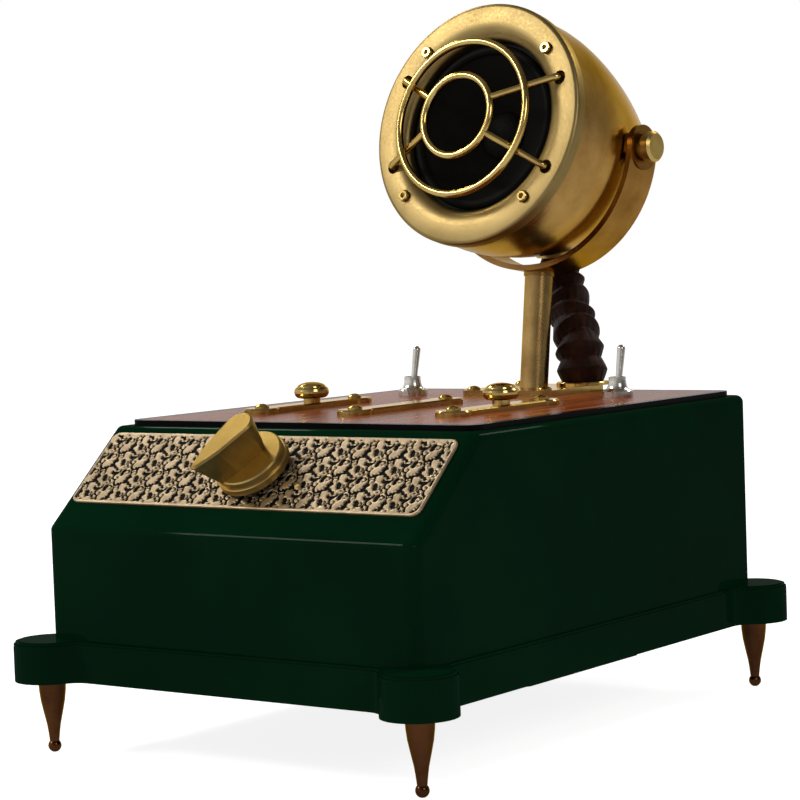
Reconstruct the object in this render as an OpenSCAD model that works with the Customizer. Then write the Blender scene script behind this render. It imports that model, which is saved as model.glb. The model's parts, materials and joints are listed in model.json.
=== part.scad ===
// Table loudspeaker in the style of an early sound machine: a lacquered case on turned legs,
// a wood top board with bars, press buttons and lever switches, and a tilting horn-shaped head.
// Millimetres, +Z up, front towards -Y. The origin is on the floor, under the middle of the case.

/* [Case] */
// Width of the case
case_w = 203; // [180:1:230]
// Depth of the case
case_d = 277; // [260:1:310]
// Height of the case above the plinth
case_h = 91.5; // [85:0.5:110]
// Height of the upright part of the front
front_h = 50; // [40:0.5:56]
// How far back the sloping front runs
slope_run = 46.8; // [40:0.2:56]
// Thickness of the case walls
wall = 8; // [5:0.5:10]
// Radius of the upright corners
corner_r = 6; // [4.5:0.5:8]
// Radius of the edges round the top
edge_r = 3.5; // [2:0.5:4]

/* [Plinth] */
// Thickness of the plinth
plinth_t = 18.3; // [14:0.1:24]
// How far the plinth stands out from the case
plinth_over = 2; // [1:0.5:5]
// Radius of the round lobe at each corner
lobe_r = 16.4; // [13:0.2:20]
// Radius of the hollow between a lobe and the straight edge
lobe_hollow_r = 10; // [5:0.5:14]
// Rounding of the plinth's top edge
plinth_edge_r = 3; // [1:0.5:4]
// Width of the service opening under the case
service_w = 150; // [120:1:160]
// Length of the service opening
service_d = 70; // [60:1:80]
// Width of the bottom cover
cover_w = 184; // [170:1:186]
// Length of the bottom cover
cover_d = 93; // [84:1:110]
// Depth of the bottom cover
cover_h = 4; // [3:0.5:6]

/* [Legs] */
// Height of a leg below the plinth
leg_h = 32.6; // [28:0.1:45]
// Diameter of a leg where it meets the plinth
leg_d = 12.4; // [9:0.1:14]
// Diameter of the ball at the foot
ball_d = 5.9; // [5:0.1:8]
// Diameter of the threaded stud
leg_stud_d = 6; // [5:0.5:8]
// Length of the threaded stud
leg_stud_l = 12; // [8:0.5:13]

/* [Top board] */
// Distance from the case's side to the board
board_inset = 5; // [5:0.5:9]
// Thickness of the board
board_t = 4.8; // [4:0.1:6]
// How far the board stands above the case
board_proud = 2.4; // [1:0.1:3]
// Corner radius of the board
board_r = 8; // [2:0.5:9]
// Width of the ledge that carries the board
ledge = 8; // [6:0.5:10]

/* [Ornament plate] */
// Width of the plate on the slope
plate_w = 192; // [150:1:194]
// Height of the plate along the slope
plate_h = 42.5; // [40:0.5:44]
// Distance from the lower edge of the slope
plate_up = 15; // [12:0.5:15]
// Thickness of the plate
plate_t = 1.2; // [0.8:0.1:2]
// Width of the plain border
plate_border = 2.2; // [1:0.1:4]
// Depth of the ground between the scrolls
plate_sunk = 0.5; // [0.2:0.1:0.6]

/* [Control knob] */
// Diameter of the knob's skirt
knob_d = 33.6; // [31:0.2:38]
// Height of the skirt
knob_skirt_h = 6.5; // [5.5:0.1:8]
// Overall height of the knob
knob_h = 22.8; // [18:0.1:26]
// Width of the finger bar at its round end
knob_bar_w = 14; // [12:0.2:15]
// Width of the finger bar at its narrow end
knob_tip_w = 4; // [3:0.2:6]
// Width of the finger bar where it stands on the skirt
knob_foot_w = 8.6; // [8.2:0.2:11]
// Reach of the narrow end from the shaft
knob_tip_reach = 23.3; // [20:0.1:25]
// Reach of the round end from the shaft
knob_end_reach = 11.3; // [9:0.1:13]
// Gap between the knob and the plate
knob_gap = 2.3; // [1.2:0.1:3]
// Direction of the finger bar, from level
knob_turn = 69; // [0:1:90]
// Diameter of the shaft
shaft_d = 6; // [5:0.5:7]
// Diameter of the small index stud
index_d = 4.2; // [3:0.1:6]

/* [Bars and buttons] */
// Distance between the bars
bar_pitch = 54.3; // [48:0.1:58]
// Distance between the two screws of a bar
bar_screws_apart = 70.5; // [60:0.5:76]
// Width of a bar between its round ends
bar_w = 12; // [11:0.5:16]
// Diameter of a bar's round ends
bar_end_d = 16.4; // [16:0.2:18]
// Thickness of a bar
bar_t = 2.6; // [2:0.1:4]
// Place of the bars' middle, back from the case's middle
bar_y = -6.2; // [-10:0.1:0]
// Diameter of a screw head
screw_head_d = 6.6; // [5.5:0.1:7.5]
// Diameter of a press button
button_d = 16.6; // [14:0.1:18]
// Height of a button above its bar
button_h = 9.8; // [8:0.1:12]
// Diameter of a button's stem
button_stem_d = 8; // [6:0.5:9]
// Travel of a button
button_travel = 1.5; // [1:0.1:1.8]
// Place of the buttons, back from the bars' middle
button_back = 2; // [-4:0.5:6]

/* [Lever switches] */
// Distance of a lever switch from the side of the case
toggle_inset = 41; // [36:0.5:50]
// Distance of a lever switch from the rear of the case
toggle_back = 52.7; // [47:0.1:60]
// Diameter of the threaded collar
toggle_d = 11.8; // [11:0.1:12.4]
// Diameter of the bell-shaped nut
toggle_nut_d = 14.8; // [14.4:0.1:18]
// Height of the lever's tip above the board
toggle_tip_h = 24.5; // [18:0.5:32]
// Lean of the lever from upright
toggle_lean = 12; // [6:0.5:13]

/* [Post and yoke] */
// Width of the plate under the post
base_w = 53; // [50:0.5:60]
// Length of the plate under the post
base_l = 54; // [52:0.5:56]
// Thickness of the plate under the post
base_t = 3; // [2:0.1:5]
// Distance of the plate's middle from the rear of the case
base_back = 34; // [32.5:0.1:40]
// Diameter of the post
post_d = 14; // [12:0.5:18]
// Distance along the post's line from the plate to the pivot
post_line = 116.7; // [108:0.1:150]
// Lean of the post to the rear
post_rake = 8; // [0:0.5:10]
// Turn of the head about the post
head_turn = -2.6; // [-6:0.1:6]
// Inner radius of the yoke
yoke_r = 56.8; // [56.6:0.1:60]
// Thickness of the yoke
yoke_t = 2.8; // [2:0.1:4]
// Width of the yoke
yoke_w = 22; // [16:0.5:24]
// Diameter of a clamp knob
clamp_d = 15; // [13:0.5:18]
// Length of a clamp knob
clamp_l = 7.2; // [6:0.1:12]
// Diameter of a clamp knob's stud
clamp_stud_d = 6; // [5:0.5:7]

/* [Head] */
// Upward tilt of the head
head_tilt = 14.4; // [8:0.1:24]
// Largest radius of the shell
shell_r = 58.9; // [56.5:0.1:59]
// Distance from the pivot to the shell's front
shell_front = 51.6; // [46:0.1:60]
// Distance from the pivot to where the shell starts to narrow
shell_straight = 33; // [28:0.5:36]
// Length of the narrowing rear
shell_rear = 115; // [105:1:125]
// Thickness of the shell
shell_t = 1.8; // [1.2:0.1:2.4]
// Radius of the front ring
ring_r = 60.1; // [59.2:0.1:64]
// Thickness of the front ring
ring_t = 7; // [6:0.1:9]
// Radius of the opening in the front ring
opening_r = 42.5; // [40:0.5:44]
// Radius where the ring's face starts to round inwards
ring_edge_r = 51; // [48:0.1:52]
// Turn of the front ring and its guard
ring_turn = -3; // [-45:1:45]
// Radius on which the screws and the guard's feet stand
ring_holes_r = 51.2; // [50:0.1:52]
// Thickness of the guard's wire
wire_d = 3.7; // [3:0.1:4.5]
// Radius of the large guard ring
guard_big_r = 37.7; // [32:0.1:42]
// Distance of the large guard ring from the ring's face
guard_big_out = 10.7; // [8:0.1:14]
// Radius of the small guard ring
guard_small_r = 19.8; // [14:0.1:26]
// Distance of the small guard ring from the ring's face
guard_small_out = 14.4; // [10:0.1:18]
// Angle of the guard's spokes from level
spoke_angle = 25; // [15:1:40]

/* [Hose] */
// Radius of the hose over its ribs, half-way up
hose_r = 12; // [10:0.5:12.5]
// How much wider the hose is at its foot, and narrower at its top
hose_taper = 1; // [0:0.1:1.2]
// Depth of the folds between the ribs
hose_fold = 2.6; // [1:0.1:4]
// Radius of the hose's bore
hose_bore_r = 6.5; // [5:0.5:7.5]
// Number of ribs
hose_ribs = 7; // [6:1:14]

/* [Hidden] */
$fn = 48;

// Clearances
fit_gap = 0.05;
loose_gap = 0.3;
seat_gap = 0.05;

// Levels
plinth_z = leg_h;
case_z = plinth_z + plinth_t;
top_z = case_z + case_h;
board_z = top_z + board_proud;
board_low = board_z - board_t;
ledge_t = 3;
break_z = case_z + front_h;
bar_top = board_z + bar_t;
base_top = board_z + base_t;

// Plan
front_y = -case_d / 2;
rear_y = case_d / 2;
slope_angle = atan2(case_h - front_h, slope_run);
slope_top_y = front_y + slope_run;
board_front_y = slope_top_y + 4;
board_rear_y = rear_y - 5;
board_w = case_w - 2 * board_inset;
button_y = bar_y + button_back;
base_y = rear_y - base_back;
toggle_x = case_w / 2 - toggle_inset;
toggle_y = rear_y - toggle_back;

// Small fasteners
screw_r = 1.6;
screw_hole_r = screw_r + fit_gap;
screw_head_h = 2;
screw_grip = 4;

// Bottom cover's screws, half-way between the opening's edge and the cover's edge
cover_screw_x = (service_w + cover_w) / 4;
cover_screw_y = (service_d + cover_d) / 4;

// Steps in the plinth's outline, for a lobe and for the hollow beside it
lobe_steps = 18;
hollow_steps = 4;

// Turned leg: depth below the plinth as a share of the leg, and radius as a share of its top
leg_shape = [
    [0, 1], [0.15, 0.96], [0.29, 0.87], [0.435, 0.71], [0.53, 0.6], [0.616, 0.5], [0.72, 0.42], [0.8, 0.37]
];
ball_r = ball_d / 2;
foot_flat = 0.2;

// Control knob and its potentiometer
knob_mid_up = plate_up + plate_h / 2;
knob_flange_h = 3.2;
knob_step = 1;
knob_edge = 0.8;
knob_grub_z = 4.2;
knob_grub_r = 1.5;
shaft_r = shaft_d / 2;
pot_bush_r = 3.5 + shaft_r - 2.6;
pot_wall = 3;
pot_recess_r = 14;
pot_d = 24;
pot_l = 12;
shaft_tip = knob_gap + plate_t + 12;
index_x = 26;
index_up = plate_up + 14;

// Lever switches
toggle_r = toggle_d / 2;
toggle_ball_r = 2.8;
toggle_pivot_h = 1.6;
toggle_collar_h = 2.9;
toggle_bore_r = 3.75;
toggle_pin_r = 0.9;
toggle_pin_l = 8.8;
toggle_bell_h = 9.4;
toggle_body_h = 12;
toggle_pivot_z = board_z + toggle_pivot_h;

// Buttons
button_r = button_d / 2;
button_stem_r = button_stem_d / 2;
button_gap = button_travel + 0.5;
button_stem_low = board_low - 5;
button_switch_r = 8;
button_switch_h = 13;

// Post, yoke and pivot
post_r = post_d / 2;
foot_y = base_y + 0.7;
spigot_r = 5;
spigot_low = board_low - 10;
yoke_out_r = yoke_r + yoke_t;
yoke_pad_t = 1.8;
post_top = post_line - yoke_out_r - yoke_pad_t;
clamp_stud_r = clamp_stud_d / 2;
clamp_hole_r = clamp_stud_r + fit_gap;
boss_r = 8;
boss_end = yoke_r - 0.7;
stud_tip = 46.5;
base_hole_x = base_w / 2 - 5.5;
base_hole_y = base_l / 2 - 5.5;
base_corner = 4;

// Head
ring_face = shell_front + ring_t;
neck_power = 1.5;
shell_lip_r = 47.5;
shell_lip_t = 3;
shell_steps = 22;
frame_r = 47;
frame_t = 1.5;
gasket_t = 0.5;
driver_z = shell_front - gasket_t;
surround_r = 42.9;
cone_r = 36;
cone_back = 33;
magnet_r = 28;
magnet_t = 15;
magnet_front = 25;
spoke_bend = 2.6;
spoke_weld = 0.3;
guard_hole_r = 3.4;
guard_hole_deep = 4;
spoke_d = wire_d - 0.2;
socket_r = 2.75;
socket_h = 3;
socket_sunk = 1;
sunk_r = 3.1;
ring_lip = 4.4;

// Hose: foot, top and the lean of its top end
hose_foot = [17.3, base_y + 18.8];
hose_top = [-11.5, base_y + 44.4, base_top + 69];
hose_top_dir = [0, -sin(8.4), cos(8.4)];
gland_t = 1.8;
gland_r = hose_r + hose_taper + 0.2;
ferrule_l = 4;
ferrule_r = hose_r - hose_taper + 0.5;
cable_bore_r = 4.5;
gland_neck_r = 6;
hose_sides = 20;
rings_per_rib = 4;
hose_start = [hose_foot[0], hose_foot[1], base_top + gland_t + seat_gap];
hose_end = hose_top - hose_top_dir * (ferrule_l + seat_gap);

// Inside the case
amp_w = 80;
amp_d = 56;
amp_at = [-42, rear_y - 63.5];
standoff_h = 6;
battery_at = [44, rear_y - 56.5];
battery_size = [58, 70, 20];
panel_w = 74;
panel_h = 30;
panel_t = 1.6;
panel_z = case_z + 30;
power_x = -16;
audio_x = 16;
power_hole_r = 2.8;
audio_hole_r = 1.8;
socket_l = 14;

// Shapes used by several pieces
module round_rect(w, d, r) {
    square([w - 2 * r, d], center = true);
    square([w, d - 2 * r], center = true);
    for (sx = [-1, 1], sy = [-1, 1])
        translate([sx * (w / 2 - r), sy * (d / 2 - r)])
            circle(r);
}

// Disc of radius r with its upper edge rounded by e, flat side down
module puck(r, e) {
    rotate_extrude($fn = 32) {
        square([r - e, e]);
        translate([r - e, 0])
            intersection() {
                circle(e, $fn = 32);
                square(e);
            }
    }
}

// Cylinder with a bevelled top edge
module bevel_disc(r, h, c) {
    cylinder(r = r, h = h - c);
    translate([0, 0, h - c])
        cylinder(r1 = r, r2 = r - c, h = c);
}

// Dome-headed screw, head on z = 0, with a slot
module dome_screw(length) {
    difference() {
        union() {
            intersection() {
                translate([0, 0, screw_head_h - screw_head_d * 0.75])
                    sphere(r = screw_head_d * 0.75);
                cylinder(d = screw_head_d, h = screw_head_h);
            }
            translate([0, 0, -length])
                cylinder(r = screw_r, h = length + 0.1);
        }
        translate([-screw_head_d, -0.4, screw_head_h - 0.9])
            cube([2 * screw_head_d, 0.8, 1]);
    }
}

// Frame of the slope: x across, y up the slope, z out of it
module on_slope(up = 0) {
    translate([0, front_y, break_z])
        rotate([slope_angle, 0, 0])
            translate([0, up, 0])
                children();
}

// Frame of the yoke: origin at the pivot, x along the pivot, z along the post
module at_pivot() {
    translate([0, foot_y, base_top])
        rotate([-post_rake, 0, 0])
            rotate([0, 0, head_turn])
                translate([0, 0, post_line])
                    children();
}

// Frame of the head: z out of the front, y up, x along the pivot
module in_head() {
    at_pivot()
        rotate([post_rake - head_tilt, 0, 0])
            rotate([90, 0, 0])
                children();
}

module in_ring() {
    in_head()
        rotate([0, 0, ring_turn])
            children();
}

// Case
module case_body() {
    run_in = corner_r - edge_r + edge_r * tan(slope_angle / 2);
    break_in = edge_r * (1 - sin(slope_angle)) / cos(slope_angle);
    hull() {
        for (sx = [-1, 1]) {
            translate([sx * (case_w / 2 - corner_r), rear_y - corner_r, top_z - edge_r])
                puck(corner_r, edge_r);
            translate([sx * (case_w / 2 - corner_r), slope_top_y + run_in, top_z - edge_r])
                puck(corner_r, edge_r);
            translate([sx * (case_w / 2 - corner_r), front_y + corner_r, break_z - break_in])
                puck(corner_r, edge_r);
            for (y = [front_y + corner_r, rear_y - corner_r])
                translate([sx * (case_w / 2 - corner_r), y, case_z])
                    cylinder(r = corner_r, h = 1, $fn = 32);
        }
    }
}

module case_shell() {
    ceiling = board_low - ledge_t;
    slope_in_z = break_z - wall * (1 - sin(slope_angle)) / cos(slope_angle);
    slope_in_y = front_y + (cos(slope_angle) * (ceiling - break_z) + wall) / sin(slope_angle);
    color("darkgreen")
        difference() {
            case_body();
            rotate([90, 0, 90])
                translate([0, 0, -case_w / 2 + wall])
                    linear_extrude(case_w - 2 * wall)
                        polygon([
                            [front_y + wall, case_z - 1], [front_y + wall, slope_in_z],
                            [slope_in_y, ceiling], [rear_y - wall, ceiling], [rear_y - wall, case_z - 1]
                        ]);
            translate([0, (board_front_y + board_rear_y) / 2, board_low])
                linear_extrude(case_h)
                    round_rect(board_w + 2 * fit_gap, board_rear_y - board_front_y + 2 * fit_gap, board_r);
            translate([-board_w / 2 + ledge, board_front_y + ledge, ceiling - 1])
                cube([board_w - 2 * ledge, board_rear_y - board_front_y - 2 * ledge, case_h]);
            on_slope(knob_mid_up) {
                translate([0, 0, -wall - 1])
                    cylinder(r = pot_bush_r + fit_gap, h = wall + 2);
                translate([0, 0, -wall - 4])
                    cylinder(r = pot_recess_r, h = wall + 4 - pot_wall);
            }
            on_slope(index_up)
                translate([index_x, 0, -3])
                    cylinder(r = 1 + fit_gap, h = 4);
            translate([-panel_w / 2 + 8, rear_y - wall - 1, panel_z - panel_h / 2 + 4])
                cube([panel_w - 16, wall + 2, panel_h - 8]);
            for (sx = [-1, 1], sz = [-1, 1])
                translate([sx * (panel_w / 2 - 4), rear_y + 1, panel_z + sz * (panel_h / 2 - 4)])
                    rotate([90, 0, 0])
                        cylinder(r = screw_hole_r, h = 6);
            translate([hose_foot[0], hose_foot[1], ceiling - 1])
                cylinder(r = gland_neck_r + loose_gap, h = ledge_t + 2);
        }
}

// Plinth: its outline at a given inset, corner by corner, each turned a quarter from the last
function quarter_turned(p, q) =
    q == 0 ? p : q == 1 ? [-p[1], p[0]] : q == 2 ? [-p[0], -p[1]] : [p[1], -p[0]];
function around(centre, r, a) = centre + r * [cos(a), sin(a)];
function plinth_corner(q, inset) =
    let (
        half = q % 2 == 0 ? [case_w / 2, case_d / 2] : [case_d / 2, case_w / 2],
        out = plinth_over + lobe_hollow_r,
        along = sqrt(pow(lobe_r + lobe_hollow_r, 2) - out * out),
        turn = atan2(along, out),
        hollow = lobe_hollow_r + inset,
        first = [for (i = [0 : hollow_steps - 1])
            around(half + [out, -along], hollow, 180 - turn * i / hollow_steps)],
        lobe = [for (i = [0 : lobe_steps])
            around(half, lobe_r - inset, -turn + (90 + 2 * turn) * i / lobe_steps)],
        second = [for (i = [1 : hollow_steps])
            around(half + [-along, out], hollow, turn - 90 - turn * i / hollow_steps)]
    )
    [for (p = concat(first, lobe, second)) quarter_turned(p, q)];
function plinth_outline(inset) = [for (q = [0 : 3]) each plinth_corner(q, inset)];

module plinth_body() {
    edge_steps = 3;
    translate([0, 0, plinth_z])
        linear_extrude(plinth_t - plinth_edge_r)
            polygon(plinth_outline(0));
    for (i = [1 : edge_steps])
        translate([0, 0, case_z - plinth_edge_r])
            linear_extrude(plinth_edge_r * sin(90 * i / edge_steps))
                polygon(plinth_outline(plinth_edge_r * (1 - cos(90 * (i - 0.5) / edge_steps))));
}

module plinth() {
    color("darkgreen")
        difference() {
            plinth_body();
            translate([0, 0, plinth_z - 1])
                linear_extrude(plinth_t + 2)
                    round_rect(service_w, service_d, 4);
            for (sx = [-1, 1], sy = [-1, 1]) {
                translate([sx * case_w / 2, sy * case_d / 2, plinth_z - 1])
                    cylinder(r = leg_stud_d / 2 + fit_gap, h = leg_stud_l + 1.5);
                translate([sx * cover_screw_x, sy * cover_screw_y, plinth_z - 1])
                    cylinder(r = screw_hole_r, h = 8);
                translate([amp_at[0] + sx * (amp_w / 2 - 4), amp_at[1] + sy * (amp_d / 2 - 4), case_z - 5])
                    cylinder(r = screw_hole_r, h = 6);
            }
        }
}

module bottom_cover() {
    color("dimgray")
        difference() {
            translate([0, 0, plinth_z - cover_h])
                linear_extrude(cover_h)
                    round_rect(cover_w, cover_d, 3);
            translate([0, 0, plinth_z - cover_h + 1.6])
                linear_extrude(cover_h)
                    round_rect(service_w, service_d, 4);
            for (sx = [-1, 1], sy = [-1, 1])
                translate([sx * cover_screw_x, sy * cover_screw_y, plinth_z - cover_h - 1]) {
                    cylinder(r = screw_hole_r, h = cover_h + 2);
                    cylinder(d = screw_head_d + 2 * loose_gap, h = 1 + screw_head_h);
                }
        }
}

module bottom_cover_screws() {
    color("gray")
        for (sx = [-1, 1], sy = [-1, 1])
            translate([sx * cover_screw_x, sy * cover_screw_y, plinth_z - cover_h + screw_head_h])
                mirror([0, 0, 1])
                    dome_screw(cover_h + 2);
}

// Legs
module leg(sx, sy) {
    outline = [for (p = leg_shape) [leg_d / 2 * p[1], leg_h * (1 - p[0])]];
    neck = outline[len(outline) - 1];
    color("peru")
        translate([sx * case_w / 2, sy * case_d / 2, 0]) {
            difference() {
                union() {
                    rotate_extrude()
                        polygon(concat([[0, leg_h]], outline, [[neck[0] * 0.85, ball_r], [0, ball_r]]));
                    translate([0, 0, ball_r - foot_flat])
                        sphere(r = ball_r);
                }
                translate([-leg_d, -leg_d, -2 * leg_d])
                    cube(2 * leg_d);
            }
            translate([0, 0, leg_h - 0.1])
                cylinder(r = leg_stud_d / 2, h = leg_stud_l + 0.1);
        }
}

module leg_front_left() {
    leg(-1, -1);
}

module leg_front_right() {
    leg(1, -1);
}

module leg_rear_left() {
    leg(-1, 1);
}

module leg_rear_right() {
    leg(1, 1);
}

// Top board
module top_board() {
    color("saddlebrown")
        difference() {
            translate([0, (board_front_y + board_rear_y) / 2, board_low])
                linear_extrude(board_t)
                    round_rect(board_w, board_rear_y - board_front_y, board_r);
            for (sx = [-1, 1]) {
                translate([sx * toggle_x, toggle_y, board_low - 1])
                    cylinder(r = toggle_r + fit_gap, h = board_t + 2);
                translate([sx * bar_pitch, button_y, board_low - 1])
                    cylinder(r = button_stem_r + loose_gap, h = board_t + 2);
            }
            for (i = [-1 : 1], sy = [-1, 1])
                translate([i * bar_pitch, bar_y + sy * bar_screws_apart / 2, board_low - 1])
                    cylinder(r = screw_hole_r, h = board_t + 2);
            for (p = base_screw_places())
                translate([p[0], p[1], board_low - 1])
                    cylinder(r = screw_hole_r, h = board_t + 2);
            translate([0, foot_y, board_low - 1])
                cylinder(r = spigot_r + fit_gap, h = board_t + 2);
            translate([hose_foot[0], hose_foot[1], board_low - 1])
                cylinder(r = gland_neck_r + fit_gap, h = board_t + 2);
        }
}

// Ornament plate on the slope
module ornament_plate() {
    color("rosybrown")
        on_slope(plate_up + plate_h / 2)
            difference() {
                linear_extrude(plate_t)
                    round_rect(plate_w, plate_h, 4);
                translate([0, 0, plate_t - plate_sunk])
                    linear_extrude(plate_t)
                        round_rect(plate_w - 2 * plate_border, plate_h - 2 * plate_border, 3);
                translate([0, 0, -1])
                    cylinder(r = pot_bush_r + fit_gap, h = plate_t + 2);
                translate([index_x, index_up - plate_up - plate_h / 2, -1])
                    cylinder(r = 1 + fit_gap, h = plate_t + 2);
            }
}

module index_stud() {
    color("gold")
        on_slope(index_up)
            translate([index_x, 0, 0]) {
                translate([0, 0, plate_t - plate_sunk])
                    cylinder(r1 = index_d / 2, r2 = index_d / 2 - 0.9, h = 1.4, $fn = 4);
                translate([0, 0, -2.5])
                    cylinder(r = 1, h = 2.6 + plate_t - plate_sunk);
            }
}

// Control knob
module knob_frame() {
    on_slope(knob_mid_up)
        translate([0, 0, plate_t + knob_gap])
            children();
}

// Outline of the finger bar: narrow end towards -x, round end towards +x
module finger_bar(tip_reach, tip_r, end_reach, end_r) {
    hull() {
        translate([tip_r - tip_reach, 0])
            circle(tip_r, $fn = 24);
        translate([-tip_reach * 0.45, 0])
            circle(tip_r + (end_r - tip_r) * 0.68, $fn = 32);
        translate([end_reach - end_r, 0])
            circle(end_r, $fn = 40);
    }
}

module control_knob() {
    foot = knob_skirt_h - 0.5;
    color("goldenrod")
        knob_frame()
            difference() {
                union() {
                    bevel_disc(knob_d / 2, knob_flange_h, 0.4);
                    bevel_disc(knob_d / 2 - knob_step, knob_skirt_h, 0.6);
                    rotate([0, 0, knob_turn])
                        hull() {
                            translate([0, 0, foot])
                                linear_extrude(0.1)
                                    finger_bar(knob_tip_reach * 0.7, 1.4, knob_end_reach * 0.8, knob_foot_w / 2);
                            translate([0, 0, knob_h - knob_edge - 0.1])
                                linear_extrude(0.1)
                                    finger_bar(knob_tip_reach, knob_tip_w / 2, knob_end_reach, knob_bar_w / 2);
                            translate([0, 0, knob_h - 0.1])
                                linear_extrude(0.1)
                                    finger_bar(
                                        knob_tip_reach - knob_edge, knob_tip_w / 2 - knob_edge,
                                        knob_end_reach - knob_edge, knob_bar_w / 2 - knob_edge
                                    );
                        }
                }
                translate([0, 0, -1])
                    cylinder(r = shaft_r + fit_gap, h = 13 + fit_gap);
                translate([0, 0, knob_grub_z])
                    rotate([0, 0, knob_turn])
                        rotate([-90, 0, 0])
                            cylinder(r = knob_grub_r + fit_gap, h = knob_d);
                translate([0, 0, -1])
                    cylinder(r = 8.5, h = 2.6);
            }
}

module knob_grub_screw() {
    color("gray")
        knob_frame()
            translate([0, 0, knob_grub_z])
                rotate([0, 0, knob_turn])
                    rotate([-90, 0, 0])
                        translate([0, 0, shaft_r + fit_gap])
                            difference() {
                                cylinder(r = knob_grub_r, h = 8);
                                translate([0, 0, 6])
                                    cylinder(r = 0.8, h = 3, $fn = 6);
                            }
}

module pot_shaft() {
    color("silver")
        on_slope(knob_mid_up)
            translate([0, 0, -pot_wall - 6])
                cylinder(r = shaft_r, h = pot_wall + 6 + shaft_tip);
}

module pot_body() {
    color("slategray")
        on_slope(knob_mid_up)
            difference() {
                union() {
                    translate([0, 0, -pot_wall - pot_l])
                        cylinder(d = pot_d, h = pot_l);
                    translate([0, 0, -pot_wall - 0.1])
                        cylinder(r = pot_bush_r, h = pot_wall + 0.1 + plate_t + 0.9);
                }
                translate([0, 0, -pot_wall - 6 - fit_gap])
                    cylinder(r = shaft_r + fit_gap, h = pot_wall + 10 + plate_t);
            }
}

module pot_nut() {
    color("silver")
        on_slope(knob_mid_up)
            translate([0, 0, plate_t - plate_sunk])
                difference() {
                    cylinder(r = 7, h = 1.4, $fn = 6);
                    translate([0, 0, -1])
                        cylinder(r = pot_bush_r + fit_gap, h = 4);
                }
}

// Lever switches: a body under the board, its bell-shaped nut, and the lever
module toggle_body(sx) {
    color("dimgray")
        translate([sx * toggle_x, toggle_y, 0])
            difference() {
                union() {
                    translate([-6.5, -10, board_low - toggle_body_h])
                        cube([13, 20, toggle_body_h]);
                    translate([0, 0, board_low - 0.1])
                        cylinder(r = toggle_r, h = board_t + toggle_collar_h + 0.1);
                }
                translate([0, 0, toggle_pivot_z - 7])
                    cylinder(r = toggle_ball_r + fit_gap, h = 7.6);
                translate([0, 0, toggle_pivot_z + 0.5])
                    cylinder(r1 = toggle_ball_r + fit_gap, r2 = 4.2, h = toggle_collar_h - toggle_pivot_h);
                translate([0, 0, toggle_pivot_z])
                    rotate([0, 90, 0])
                        cylinder(r = toggle_pin_r + fit_gap, h = toggle_pin_l + 2 * loose_gap, center = true);
            }
}

module toggle_nut(sx) {
    flare = toggle_nut_d / 2;
    color("gainsboro")
        translate([sx * toggle_x, toggle_y, board_z])
            difference() {
                rotate_extrude()
                    polygon(concat(
                        [[0, 0], [flare, 0], [flare, 2.6], [flare - 0.7, 3.3]],
                        [for (a = [10 : 16 : 90])
                            [4.1 + (flare - 1.6 - 4.1) * (1 - sin(a)), 3.5 + (toggle_bell_h - 3.5) * (1 - cos(a))]],
                        [[0, toggle_bell_h]]
                    ));
                translate([0, 0, -1])
                    cylinder(r = toggle_r + fit_gap, h = toggle_collar_h + 1 + seat_gap);
                cylinder(r = toggle_bore_r, h = 2 * toggle_bell_h);
            }
}

module toggle_lever(sx) {
    reach = (toggle_tip_h - toggle_pivot_h) / cos(toggle_lean);
    color("silver")
        translate([sx * toggle_x, toggle_y, toggle_pivot_z])
            rotate([-toggle_lean, 0, 0]) {
                sphere(r = toggle_ball_r);
                rotate([0, 90, 0])
                    cylinder(r = toggle_pin_r, h = toggle_pin_l, center = true);
                cylinder(r1 = 1.35, r2 = 1.95, h = reach - 1.95);
                translate([0, 0, reach - 1.95])
                    sphere(r = 1.95);
                translate([0, 0, -5])
                    cylinder(r = 1.1, h = 5);
            }
}

module toggle_left_body() {
    toggle_body(-1);
}

module toggle_left_nut() {
    toggle_nut(-1);
}

module toggle_left_lever() {
    toggle_lever(-1);
}

module toggle_right_body() {
    toggle_body(1);
}

module toggle_right_nut() {
    toggle_nut(1);
}

module toggle_right_lever() {
    toggle_lever(1);
}

// Bars on the top board
module bar(i) {
    c = 0.7;
    color("gold")
        translate([i * bar_pitch, bar_y, board_z])
            difference() {
                union() {
                    for (sy = [-1, 1])
                        translate([0, sy * bar_screws_apart / 2, 0])
                            bevel_disc(bar_end_d / 2, bar_t, c);
                    rotate([90, 0, 0])
                        translate([0, 0, -bar_screws_apart / 2])
                            linear_extrude(bar_screws_apart)
                                polygon([
                                    [-bar_w / 2, 0], [bar_w / 2, 0], [bar_w / 2, bar_t - c],
                                    [bar_w / 2 - c, bar_t], [c - bar_w / 2, bar_t], [-bar_w / 2, bar_t - c]
                                ]);
                }
                for (sy = [-1, 1])
                    translate([0, sy * bar_screws_apart / 2, -1])
                        cylinder(r = screw_hole_r, h = bar_t + 2);
                if (i != 0)
                    translate([0, button_back, -1])
                        cylinder(r = button_stem_r + fit_gap, h = bar_t + 2);
            }
}

module bar_left() {
    bar(-1);
}

module bar_middle() {
    bar(0);
}

module bar_right() {
    bar(1);
}

module bar_screws() {
    color("gold")
        for (i = [-1 : 1], sy = [-1, 1])
            translate([i * bar_pitch, bar_y + sy * bar_screws_apart / 2, bar_top])
                rotate([0, 0, 35 + 50 * i])
                    dome_screw(bar_t + screw_grip);
}

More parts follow.
